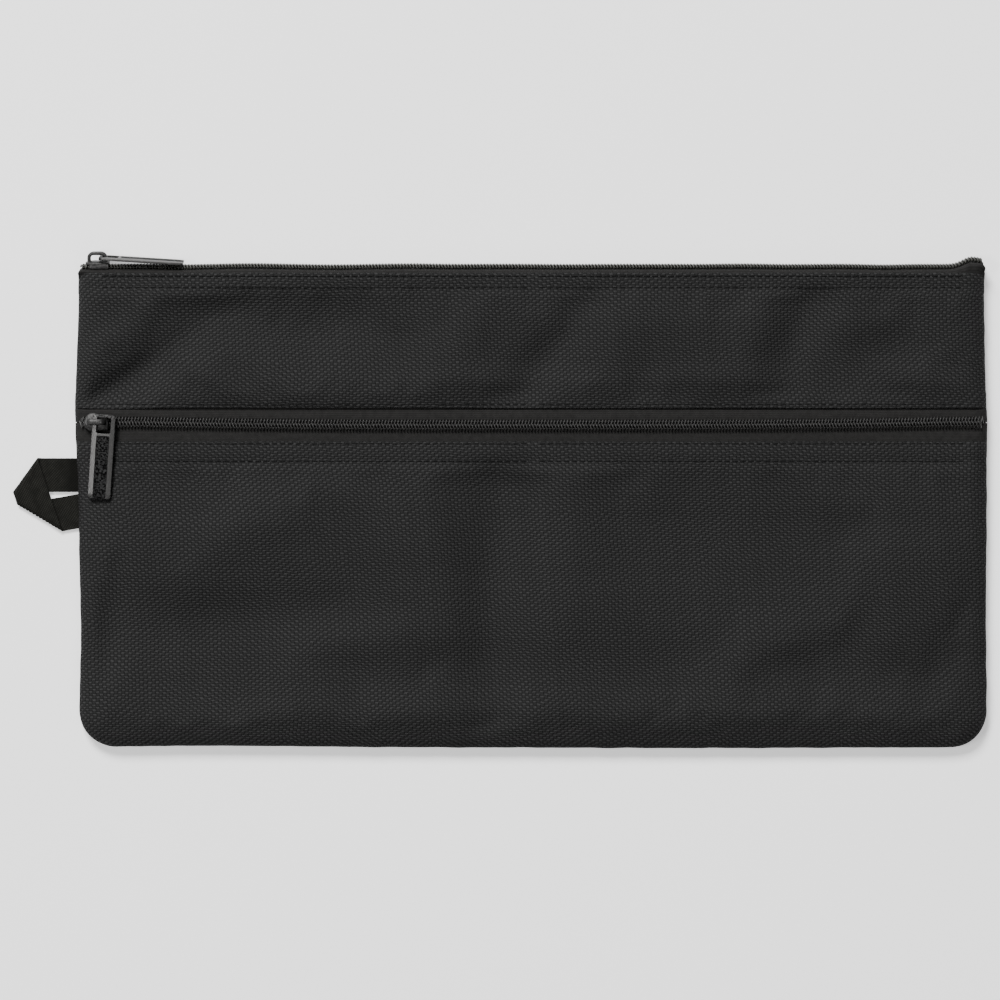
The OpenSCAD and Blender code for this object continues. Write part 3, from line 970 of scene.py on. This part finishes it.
FRONT_ZIP_Y = (corners_mm("front_zip_upper_coil")[0].y + corners_mm("front_zip_lower_coil")[1].y) / 2
FRONT_ZIP_Z = (corners_mm("front_zip_upper_tape")[0].z + corners_mm("front_zip_upper_tape")[1].z) / 2
TOP_LEAN = math.radians(12)
TAPE_T = 0.5
COIL_TOP = 1.75
TOP_ZIP_Y = -BOTTOM_Y - 0.2 - COIL_TOP * math.cos(TOP_LEAN)
TOP_ZIP_Z = 5.1
COIL_PITCH = 1.19
END_ROLL = 4.2
END_FALL = 4.4


def end_fall(x):
    """How far a zip dips at its ends, where it runs into the side seams."""
    return END_FALL * (1 - round_rise(HALF_W - abs(x), END_ROLL))


def front_zip_bow(x):
    """Sideways bow of the front zip's chain."""
    return -1.1 * (1 - min(1, abs(x - 5) / 150) ** 3)


def below_face(x, y, z, hidden):
    """Height of a tape, kept below the panel as far as the panel hides it."""
    face = upper_surface(x, y) if y > FRONT_ZIP_Y else lower_surface(x, y)
    return z + hidden * min(0, face - 1.3 - z)


def at_front_zip(x, y, z):
    """Point of the front zip: x along it, y across it, z out of it."""
    bow = front_zip_bow(x) * (1 - soft_rise(abs(y) - 2.5, 4))
    gap = (UPPER_EDGE_Y if y > 0 else LOWER_EDGE_Y) - FRONT_ZIP_Y
    hidden = soft_rise(abs(y) - abs(gap) + 0.6, 1.2)
    height = below_face(x, FRONT_ZIP_Y + y, FRONT_ZIP_Z + z - end_fall(x), hidden)
    return waved(Vector((x, FRONT_ZIP_Y + y + bow, height)))


def top_zip_move(x):
    """Rise of the top zip's ridge: uneven, straight where the slider stops, and down at both ends."""
    before_right_seam = 2.7 * hump(x - 165, 4.5 if x < 165 else 8)
    uneven = 0.4 * soft_rise(HALF_W - 22 - abs(x), 20) * ripple(x / 30, 6)
    return before_right_seam + uneven - 1.7 * (1 - round_rise(HALF_W - abs(x), 1.4))


def slider_at_top_zip(x, y, z):
    """Point of the straight top zip: x along it, y across it towards the back, z out of it."""
    return Vector((
        x,
        TOP_ZIP_Y + y * math.sin(TOP_LEAN) + z * math.cos(TOP_LEAN),
        TOP_ZIP_Z - y * math.cos(TOP_LEAN) + z * math.sin(TOP_LEAN)))


def at_top_zip(x, y, z):
    return waved(slider_at_top_zip(x, y, z + top_zip_move(x)))


def slider_at_front_zip(x, y, z):
    return Vector((x, FRONT_ZIP_Y + y, FRONT_ZIP_Z + z))


# One turn of a coil seen along the zip: across, height and lead, as shares of the pitch
COIL_TURN = [
    (-0.46, 0.78, 0.00),
    (-0.40, 1.30, 0.05),
    (0.20, 1.52, 0.22),
    (1.10, 1.50, 0.50),
    (1.90, 1.28, 0.74),
    (2.10, 0.85, 0.80),
    (1.90, 0.48, 0.84),
    (1.10, 0.40, 0.90),
    (0.20, 0.42, 0.95),
    (-0.40, 0.50, 0.98),
]
COIL_R = 0.3


def span(reach, piece_side):
    """Both ends of a row that reaches this far to each side, or of its left or right half."""
    return {0: (-reach, reach), -1: (-reach, 0), 1: (0, reach)}[piece_side]


def coil(name, side, piece_side, placed, short):
    """One coil, on the side of the chain given by 1 or -1, which ends this short of the side seams."""
    turns = range(*span(int((HALF_W - short) / COIL_PITCH), piece_side))
    shift = 0.25 * side
    path, normals = [], []
    for i in turns:
        for across, height, lead in COIL_TURN:
            path.append(Vector(((i + lead + shift) * COIL_PITCH, side * across, height)))
            normals.append(Vector((0, side * (across - 0.85), (height - 0.9) * 2.5)))
    shape = Shape()
    shape.sweep(path, normals, oval(COIL_R, COIL_R, 6))
    # Sewing thread that ties each turn down
    ties = [Vector(((i + part) * COIL_PITCH, side * 1.3, lift))
            for i in turns for part, lift in ((0.1, 1.1), (0.6, 1.78), (0.8, 1.78))]
    shape.sweep(ties, UP, oval(0.07, 0.12, 4))
    shape.move(lambda x, y, z: placed(x, y, TAPE_T / 2 + z - 0.1))
    return shape.build(name, COIL)


def tape(name, profile, piece_side, placed, rolled=True):
    """Zip tape: a strip that follows a profile across the zip, from its inner edge outwards."""
    left_x, right_x = span(HALF_W - 0.1, piece_side)
    ends = [0, 0.3, 0.9, 1.8, 3]
    columns = steps_between(left_x, right_x, 3)
    if piece_side <= 0:
        columns = [left_x + d for d in ends] + [x for x in columns if x > left_x + 4]
    if piece_side >= 0:
        columns = [x for x in columns if x < right_x - 4] + [right_x - d for d in ends[::-1]]
    rows, cloth, length = [], [], 0
    for i, (y, z) in enumerate(profile):
        length += math.dist(profile[i], profile[i - 1]) if i else 0
        row = [placed(x, y, z) for x in columns]
        roll = [rolled_in(p, GROOVE_IN, GROOVE_Z - p.z) if rolled else [] for p in (row[0], row[-1])]
        rows.append(roll[0][::-1] * (piece_side <= 0) + row + roll[1] * (piece_side >= 0))
        cloth.append([(p.x, length) for p in rows[-1]])
    shape = Shape()
    shape.grid(rows, cloth)
    return shape.build(name, TAPE, TAPE_T, 0)


def front_tape_profile(side):
    reach = (UPPER_EDGE_Y - FRONT_ZIP_Y if side > 0 else FRONT_ZIP_Y - LOWER_EDGE_Y) + 6
    ys = [0.15, 1.0, 1.8, 2.6, 3.4] + steps_between(4.4, reach, 1.4)
    ys = ys if side > 0 else [-y for y in ys[::-1]]
    return [(y, -0.03 if abs(y) < 2.3 else 0.0) for y in ys]


def top_tape_points(side):
    """Profile of a top zip's tape in the case's own Y and Z, from the chain to its hidden edge."""
    def beside_chain(w):
        return Vector((TOP_ZIP_Y - side * w * math.sin(TOP_LEAN), TOP_ZIP_Z + side * w * math.cos(TOP_LEAN)))
    start = beside_chain(0.15)
    knee = beside_chain(3.9 if side > 0 else 3.7)
    level = 9.45 if side > 0 else 1.2
    bend = Vector((knee.x - 0.1, level))
    flat = Vector((knee.x - 1.1, level))
    points = [start.lerp(knee, t) for t in (0, 0.2, 0.45, 0.7, 0.9)]
    points += [points[4].lerp(bend, t).lerp(bend.lerp(flat, t), t) for t in (0.25, 0.5, 0.75)]
    return points + [flat.lerp(Vector((TOP_EDGE_Y - 7.6, level)), t) for t in (0, 0.33, 0.66, 1)]


def top_tape(name, side, piece_side):
    """Half of the top zip's tape: it stands at the chain and turns under the panel's edge."""
    def placed(x, y, z):
        share = soft_rise(y - (TOP_EDGE_Y - 1.5), 2.5)
        move = top_zip_move(x) * share
        height = z + move * math.sin(TOP_LEAN)
        if side > 0:
            height = below_face(x, min(y, TOP_EDGE_Y), height, 1 - share)
        return waved(Vector((x, y + move * math.cos(TOP_LEAN), height)))
    points = [(p.x, p.y) for p in top_tape_points(side)]
    return tape(name, points[::-1] if side > 0 else points, piece_side, placed, rolled=False)


# ---- sliders and pulls

WING_Z = COIL_TOP + 0.15
SLIDER_L = 9.0
SLIDER_W = 7.1
TAIL_W = 5.4
BRIDGE_L = 7.6
BRIDGE_W = 2.2
BRIDGE_T = 1.36
BRIDGE_CROWN = 6.7
PULL_W = 8.5
PULL_L = 31.5
PULL_T = 1.4
BAR_W = 1.1
WINDOW_L = 6.1
WINDOW_W = 5.4
RAIL_W = 1.8


def wing_outline(width, tail):
    """Plan of a slider's wing: a round shoulder at the mouth and a narrower tail."""
    r = width / 2
    mouth_x = -SLIDER_L / 2 + r
    tail_x = SLIDER_L / 2
    return (arc((mouth_x, 0), r, 90, 270, 16)
            + arc((tail_x - 0.5, -tail / 2 + 0.5), 0.5, -90, 0, 3)
            + arc((tail_x - 0.5, tail / 2 - 0.5), 0.5, 0, 90, 3))


def plate_part(outline, levels):
    shape = Shape()
    shape.plate(outline, levels)
    return shape.build("part", METAL)


def bar_part(path, normal, section):
    shape = Shape()
    shape.sweep(path, normal, section)
    return shape.build("part", METAL)


def finish_metal(body, name, enamel_and_shade_of, turned, placed_at, edge):
    """Marks each face's share of enamel and painted shade, moves the part to its zip, and rounds its edges.
    """
    layer = body.data.attributes.new(ENAMEL_AND_SHADE, "FLOAT", "FACE")
    for face in body.data.polygons:
        layer.data[face.index].value = enamel_and_shade_of(face.center / MM, face.normal)
    for v in body.data.vertices:
        v.co = placed_at(*(turned @ (v.co / MM))) * MM
    body.name = name
    soften_edges(body, edge)
    return body


def slider(name, placed_at, turned):
    """Slider: domed wing, side flanges, lower wing, divider and bridge, joined into one casting."""
    body = plate_part(wing_outline(SLIDER_W, TAIL_W), [
        (0.15, WING_Z), (0, WING_Z + 0.15), (0, WING_Z + 0.65), (0.14, WING_Z + 0.85),
        (0.5, WING_Z + 1.02), (1.3, WING_Z + 1.2), (2.2, WING_Z + 1.28)])
    low = TAPE_T / 2 + 0.15
    for side in (-1, 1):
        path = [Vector((x, side * y, (low + WING_Z) / 2 + 0.1))
                for x, y in ((-2.6, 3.0), (-1.2, 3.1), (1.0, 2.9), (4.2, 2.55))]
        boolean(body, bar_part(path, UP, oval((WING_Z - low) / 2 + 0.1, 0.36, 8, 0.5)))
    boolean(body, plate_part(wing_outline(5.6, 5.0), [
        (0.4, -low - 0.9), (0.1, -low - 0.75), (0, -low - 0.4), (0, -low - 0.1), (0.1, -low)]))
    divider = rounded_box(-SLIDER_L / 2 + 0.6, -SLIDER_L / 2 + 2.8, -0.38, 0.38, 0.2)
    boolean(body, plate_part(divider, [(0, -low - 0.1), (0, WING_Z + 0.3)]))
    boolean(body, bar_part(bridge_route(), Vector((0, 1, 0)), oval(BRIDGE_W / 2, BRIDGE_T / 2, 14, 0.6)))
    dimple = arc((2.0, 0), 0.6, 0, 337.5, 15)
    boolean(body, plate_part(dimple, [(0.25, BRIDGE_CROWN - 0.18), (0, BRIDGE_CROWN + 0.4)]), "DIFFERENCE")
    return finish_metal(body, name, lambda centre, normal: CAST, turned, placed_at, 0.09)


def bridge_route():
    """Middle line of the bridge, from one foot over the crown to the other."""
    leg = (BRIDGE_L - BRIDGE_T) / 2
    radius = 1.7
    top = BRIDGE_CROWN - BRIDGE_T / 2
    foot = WING_Z + 0.7
    route = [(-leg, foot), (-leg, foot + 0.8)]
    route += arc((-leg + radius, top - radius), radius, 180, 90, 6)
    route += arc((leg - radius, top - radius), radius, 90, 0, 6)
    route += [(leg, foot + 0.8), (leg, foot)]
    return [Vector((x, 0, z)) for x, z in route]


def pull(name, placed_at, turned):
    """Pull: a ring that holds the bridge, and a tab with two raised rails and a plain sunk centre."""
    near = BAR_W / 2
    far = PULL_L - near
    half = PULL_W / 2
    top = PULL_T / 2
    body = plate_part(rounded_box(-near, far, -half, half, 1.1, 5), [
        (RAIL_W, -top), (0.12, 0.24 - top), (0, 0.36 - top),
        (0, top - 0.36), (0.12, top - 0.24), (RAIL_W, top)])
    window = rounded_box(near, near + WINDOW_L, -WINDOW_W / 2, WINDOW_W / 2, 0.7)
    boolean(body, plate_part(window, [(0, -PULL_T), (0, PULL_T)]), "DIFFERENCE")
    field_x = near + WINDOW_L + 0.9
    field = rounded_box(field_x, far + 1, -half + RAIL_W, half - RAIL_W, 0.5)
    levels = [(0.2, top - 0.42), (0, top - 0.2), (0, PULL_T)]
    for sunk in ([(inset, -z) for inset, z in levels[::-1]], levels):
        boolean(body, plate_part(field, sunk), "DIFFERENCE")

    def enamel_and_shade_of(centre, normal):
        sunk_floor = abs(centre.z) < top - 0.35 and abs(normal.z) > 0.9
        if sunk_floor and centre.x > field_x - 0.4 and abs(centre.y) < half - RAIL_W + 0.1:
            return 1.0
        # The ring's bar is darkened as painted shade, for the shade under the slider's bridge
        return RING_PAINTED_SHADE if centre.x < near + 0.2 else 0.0

    return finish_metal(body, name, enamel_and_shade_of, turned, placed_at, 0.12)


# ---- webbing loop

STRAP_Z = 0.3
STRAP_T = 1.1
STRAP_W = 12.7
LAYER_RISE = 1.3
LEG_TOP_Y = 17.9
LEG_LOW_Y = LEG_TOP_Y - STRAP_W
MIDDLE_LEAN = math.radians(18.6)
LEFT_EDGE = 4.8
LOWER_LEAN = math.radians(10)
LEGS_L = 52


def square_to(line):
    """Direction a quarter turn to the right of a line."""
    return Vector((line.y, -line.x))


def fold_strap(point, height, at, beyond, rise):
    """Folds flat strap over a line: cloth past the line turns back on a small half round."""
    r = LAYER_RISE / 2
    q = (point - at).dot(beyond)
    if q < -r:
        return point, height
    if q < -r + math.pi * r:
        a = (q + r) / r
        return point + beyond * (-r + r * math.sin(a) - q), height + rise * r * (1 - math.cos(a))
    return point + beyond * (-r - (q + r - math.pi * r) - q), height + rise * 2 * r


def webbing_loop():
    """Strap folded flat twice: a straight leg, a middle stretch over both legs, and the second leg."""
    low, high = corners_mm("webbing_loop")
    seam_x = high.x
    middle = Vector((math.sin(MIDDLE_LEAN), -math.cos(MIDDLE_LEAN)))
    leg = Vector((math.cos(LOWER_LEAN), math.sin(LOWER_LEAN)))
    first_at = Vector((low.x, LEG_LOW_Y))
    first_line = (Vector((-1, 0)) + middle).normalized()
    second_line = (middle + leg).normalized()
    folds = ((first_at, square_to(first_line), 1),
             (first_at + middle * LEFT_EDGE, square_to(second_line), -1))
    rows, cloth = [], []
    for v in steps_between(0, STRAP_W, 0.9):
        line, marks = [], []
        for u in steps_between(0, seam_x - low.x + LEGS_L, 0.55):
            point = Vector((seam_x - u, LEG_LOW_Y + v))
            height = 0.0
            for at, beyond, rise in folds:
                point, height = fold_strap(point, height, at, beyond, rise)
            if point.x > seam_x + 0.6 and u > 40:
                point.x = seam_x + 0.6
            line.append(Vector((point.x, point.y, STRAP_Z + STRAP_T / 2 + height)))
            marks.append((u, v))
        rows.append(line)
        cloth.append(marks)
    shape = Shape()
    shape.grid(rows, cloth, flip=True)
    return shape.build("webbing_strap", WEBBING, STRAP_T, 0)


# ---- stitching

STITCH_PITCH = 3.0
STITCH_L = 2.3
THREAD_R = 0.23


def stitches(name, rows_of, surface, piece_side, lift, up):
    """Separate short stitches along rows at the given heights of Y."""
    left_x, right_x = span(HALF_W - 9, piece_side)
    count = int((right_x - left_x) / STITCH_PITCH)
    first = left_x if piece_side <= 0 else right_x - count * STITCH_PITCH
    section = oval(THREAD_R * 0.8, THREAD_R * 1.2, 6)
    shape = Shape()
    for row_y in rows_of:
        for i in range(count):
            middle = first + (i + 0.5) * STITCH_PITCH
            wander = 0.12 * ripple(middle, row_y, 1)
            path = []
            for share, sink in ((-0.5, -0.16), (-0.32, 0.02), (0, 0.06), (0.32, 0.02), (0.5, -0.16)):
                x = middle + share * STITCH_L
                y = row_y + wander + 0.1 * share
                path.append(waved(Vector((x, y, surface(x, y) + up * (sink + lift)))))
            shape.sweep(path, UP, section)
    return shape.build(name, THREAD)


# ---- build the case

add_camera()
add_world(0.08)
add_area_light("key", (-0.75, 1.95, 2.3), 1.0, 178)
add_area_light("left", (-0.75, -0.1, 1.3), 0.3, 7)
add_area_light("right", (0.45, 0, 1.4), 0.3, 1)
add_area_light("front", (0.5, -1.3, 1.5), 0.8, 5)

floor_shape = Shape()
floor_shape.grid([[Vector((x, y, 0)) for x in (-2500, -800, 800, 2500)] for y in (-2500, -800, 800, 2500)])
floor = floor_shape.build("floor", floor_material())

CANVAS = canvas_material()
TAPE = tape_material()
COIL = coil_material()
METAL = metal_material()
WEBBING = webbing_material()
THREAD = thread_material()
LINING = lining_material()
BINDING = binding_material()


# How far inside each side seam the zips stay joined, past the sliders' end positions
JOINED = 19
HALVES = {-1: "left", 1: "right"}


def place(piece, node, slot, body, half=0):
    """A piece that stands for a CAD node and moves with its body.

    Half a piece is fixed where it was built instead, and gets no body.
    """
    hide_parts(node)
    if half:
        seam = (half * (HALF_W - JOINED) * MM, 0, 0)
        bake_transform(piece)
    else:
        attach(piece, body)
    return piece


def ending(half):
    return "_" + HALVES[half] if half else ""


def zip_side(stem, side, body, half=0):
    """A tape of a zip and its coil, on the side of the chain given by 1 or -1."""
    name = stem + "_band" + ending(half)
    if stem.startswith("front"):
        band = tape(name, front_tape_profile(side), half, at_front_zip)
        teeth = coil(stem + "_teeth" + ending(half), side, half, at_front_zip, 1.4)
    else:
        band = top_tape(name, -side, half)
        teeth = coil(stem + "_teeth" + ending(half), side, half, at_top_zip, 0.8)
    place(band, stem + "_tape", "zip_tape", body, half)
    return band, place(teeth, stem + "_coil", "zip_coil", body, half)


def sewn(stem, rows_of, surface, body, half=0, lift=0.06, up=1):
    """Rows of stitches through a piece beside a zip."""
    thread = stitches(stem + "_stitches" + ending(half), rows_of, surface, half, lift, up)
    return place(thread, stem + "_stitching", "thread", body, half)


settle("upper", upper_surface, UPPER_EDGE_Y + 2, TOP_EDGE_Y - 5, 0.006, 0.05)
settle("lower", lower_surface, BOTTOM_Y + 4, LOWER_EDGE_Y - 8, 0.006, 0.05)

# Cloth
back = place(back_panel(), "back_panel", "canvas", "case")
lining = place(pocket_lining(), "pocket_lining", "lining", "case")
binding = place(seam_binding(), "seam_binding", "binding", "case")
upper_cloth, lower_cloth = {}, {}
for half in HALVES:
    panel = front_panel("front_upper_cloth" + ending(half), half, upper_surface, upper_rows(), True)
    upper_cloth[half] = place(panel, "front_upper_panel", "canvas", "mouth_flap", half)
    panel = front_panel("front_lower_cloth" + ending(half), half, lower_surface, lower_rows(), False)
    lower_cloth[half] = place(panel, "front_lower_panel", "canvas", "pocket_flap", half)

# Zips
band, teeth = zip_side("front_zip_upper", 1, "case")
for half in HALVES:
    band, teeth = zip_side("front_zip_lower", -1, "pocket_flap", half)
band, teeth = zip_side("top_zip_back", 1, "case")
for half in HALVES:
    band, teeth = zip_side("top_zip_front", -1, "mouth_flap", half)

# Sliders and pulls
slider_x = (corners_mm("front_zip_slider")[0].x + corners_mm("front_zip_slider")[1].x) / 2
slider_turn = Matrix.Translation((slider_x, 0, 0))
front_turn = (Matrix.Translation((slider_x + (BRIDGE_L - 1.5) / 2, 0, 4))
              @ Matrix.Rotation(math.radians(-94), 4, "Z")
              @ Matrix.Translation((-BAR_W - 1.3, 0, 0))
              @ Matrix.Rotation(math.radians(2), 4, "Y"))
top_turn = Matrix.Translation((slider_x + 1.25, 0, 4.4)) @ Matrix.Rotation(math.radians(3.6), 4, "Y")
for zip_name, placed_at in (("front", slider_at_front_zip), ("top", slider_at_top_zip)):
    piece = slider(zip_name + "_slider_casting", placed_at, slider_turn)
    place(piece, zip_name + "_zip_slider", "zip_metal", zip_name + "_slider")
for zip_name, placed_at, turned in (("front", slider_at_front_zip, front_turn),
                                    ("top", slider_at_top_zip, top_turn)):
    piece = pull(zip_name + "_pull_tab", placed_at, turned)
    place(piece, zip_name + "_zip_pull", "zip_metal", zip_name + "_pull")

# Loop
loop = place(webbing_loop(), "webbing_loop", "webbing", "loop")

# Stitching
for half in HALVES:
    zip_row = sewn("front_zip_upper", [UPPER_ROW], upper_surface, "mouth_flap", half)
    top_row = sewn("top_zip_front", TOP_ROWS, upper_surface, "mouth_flap", half)
    pocket_row = sewn("front_zip_lower", LOWER_ROWS, lower_surface, "pocket_flap", half)
back_row = sewn("top_zip_back", [BACK_ROW_Y], back_surface, "case", 0, -0.1, -1)
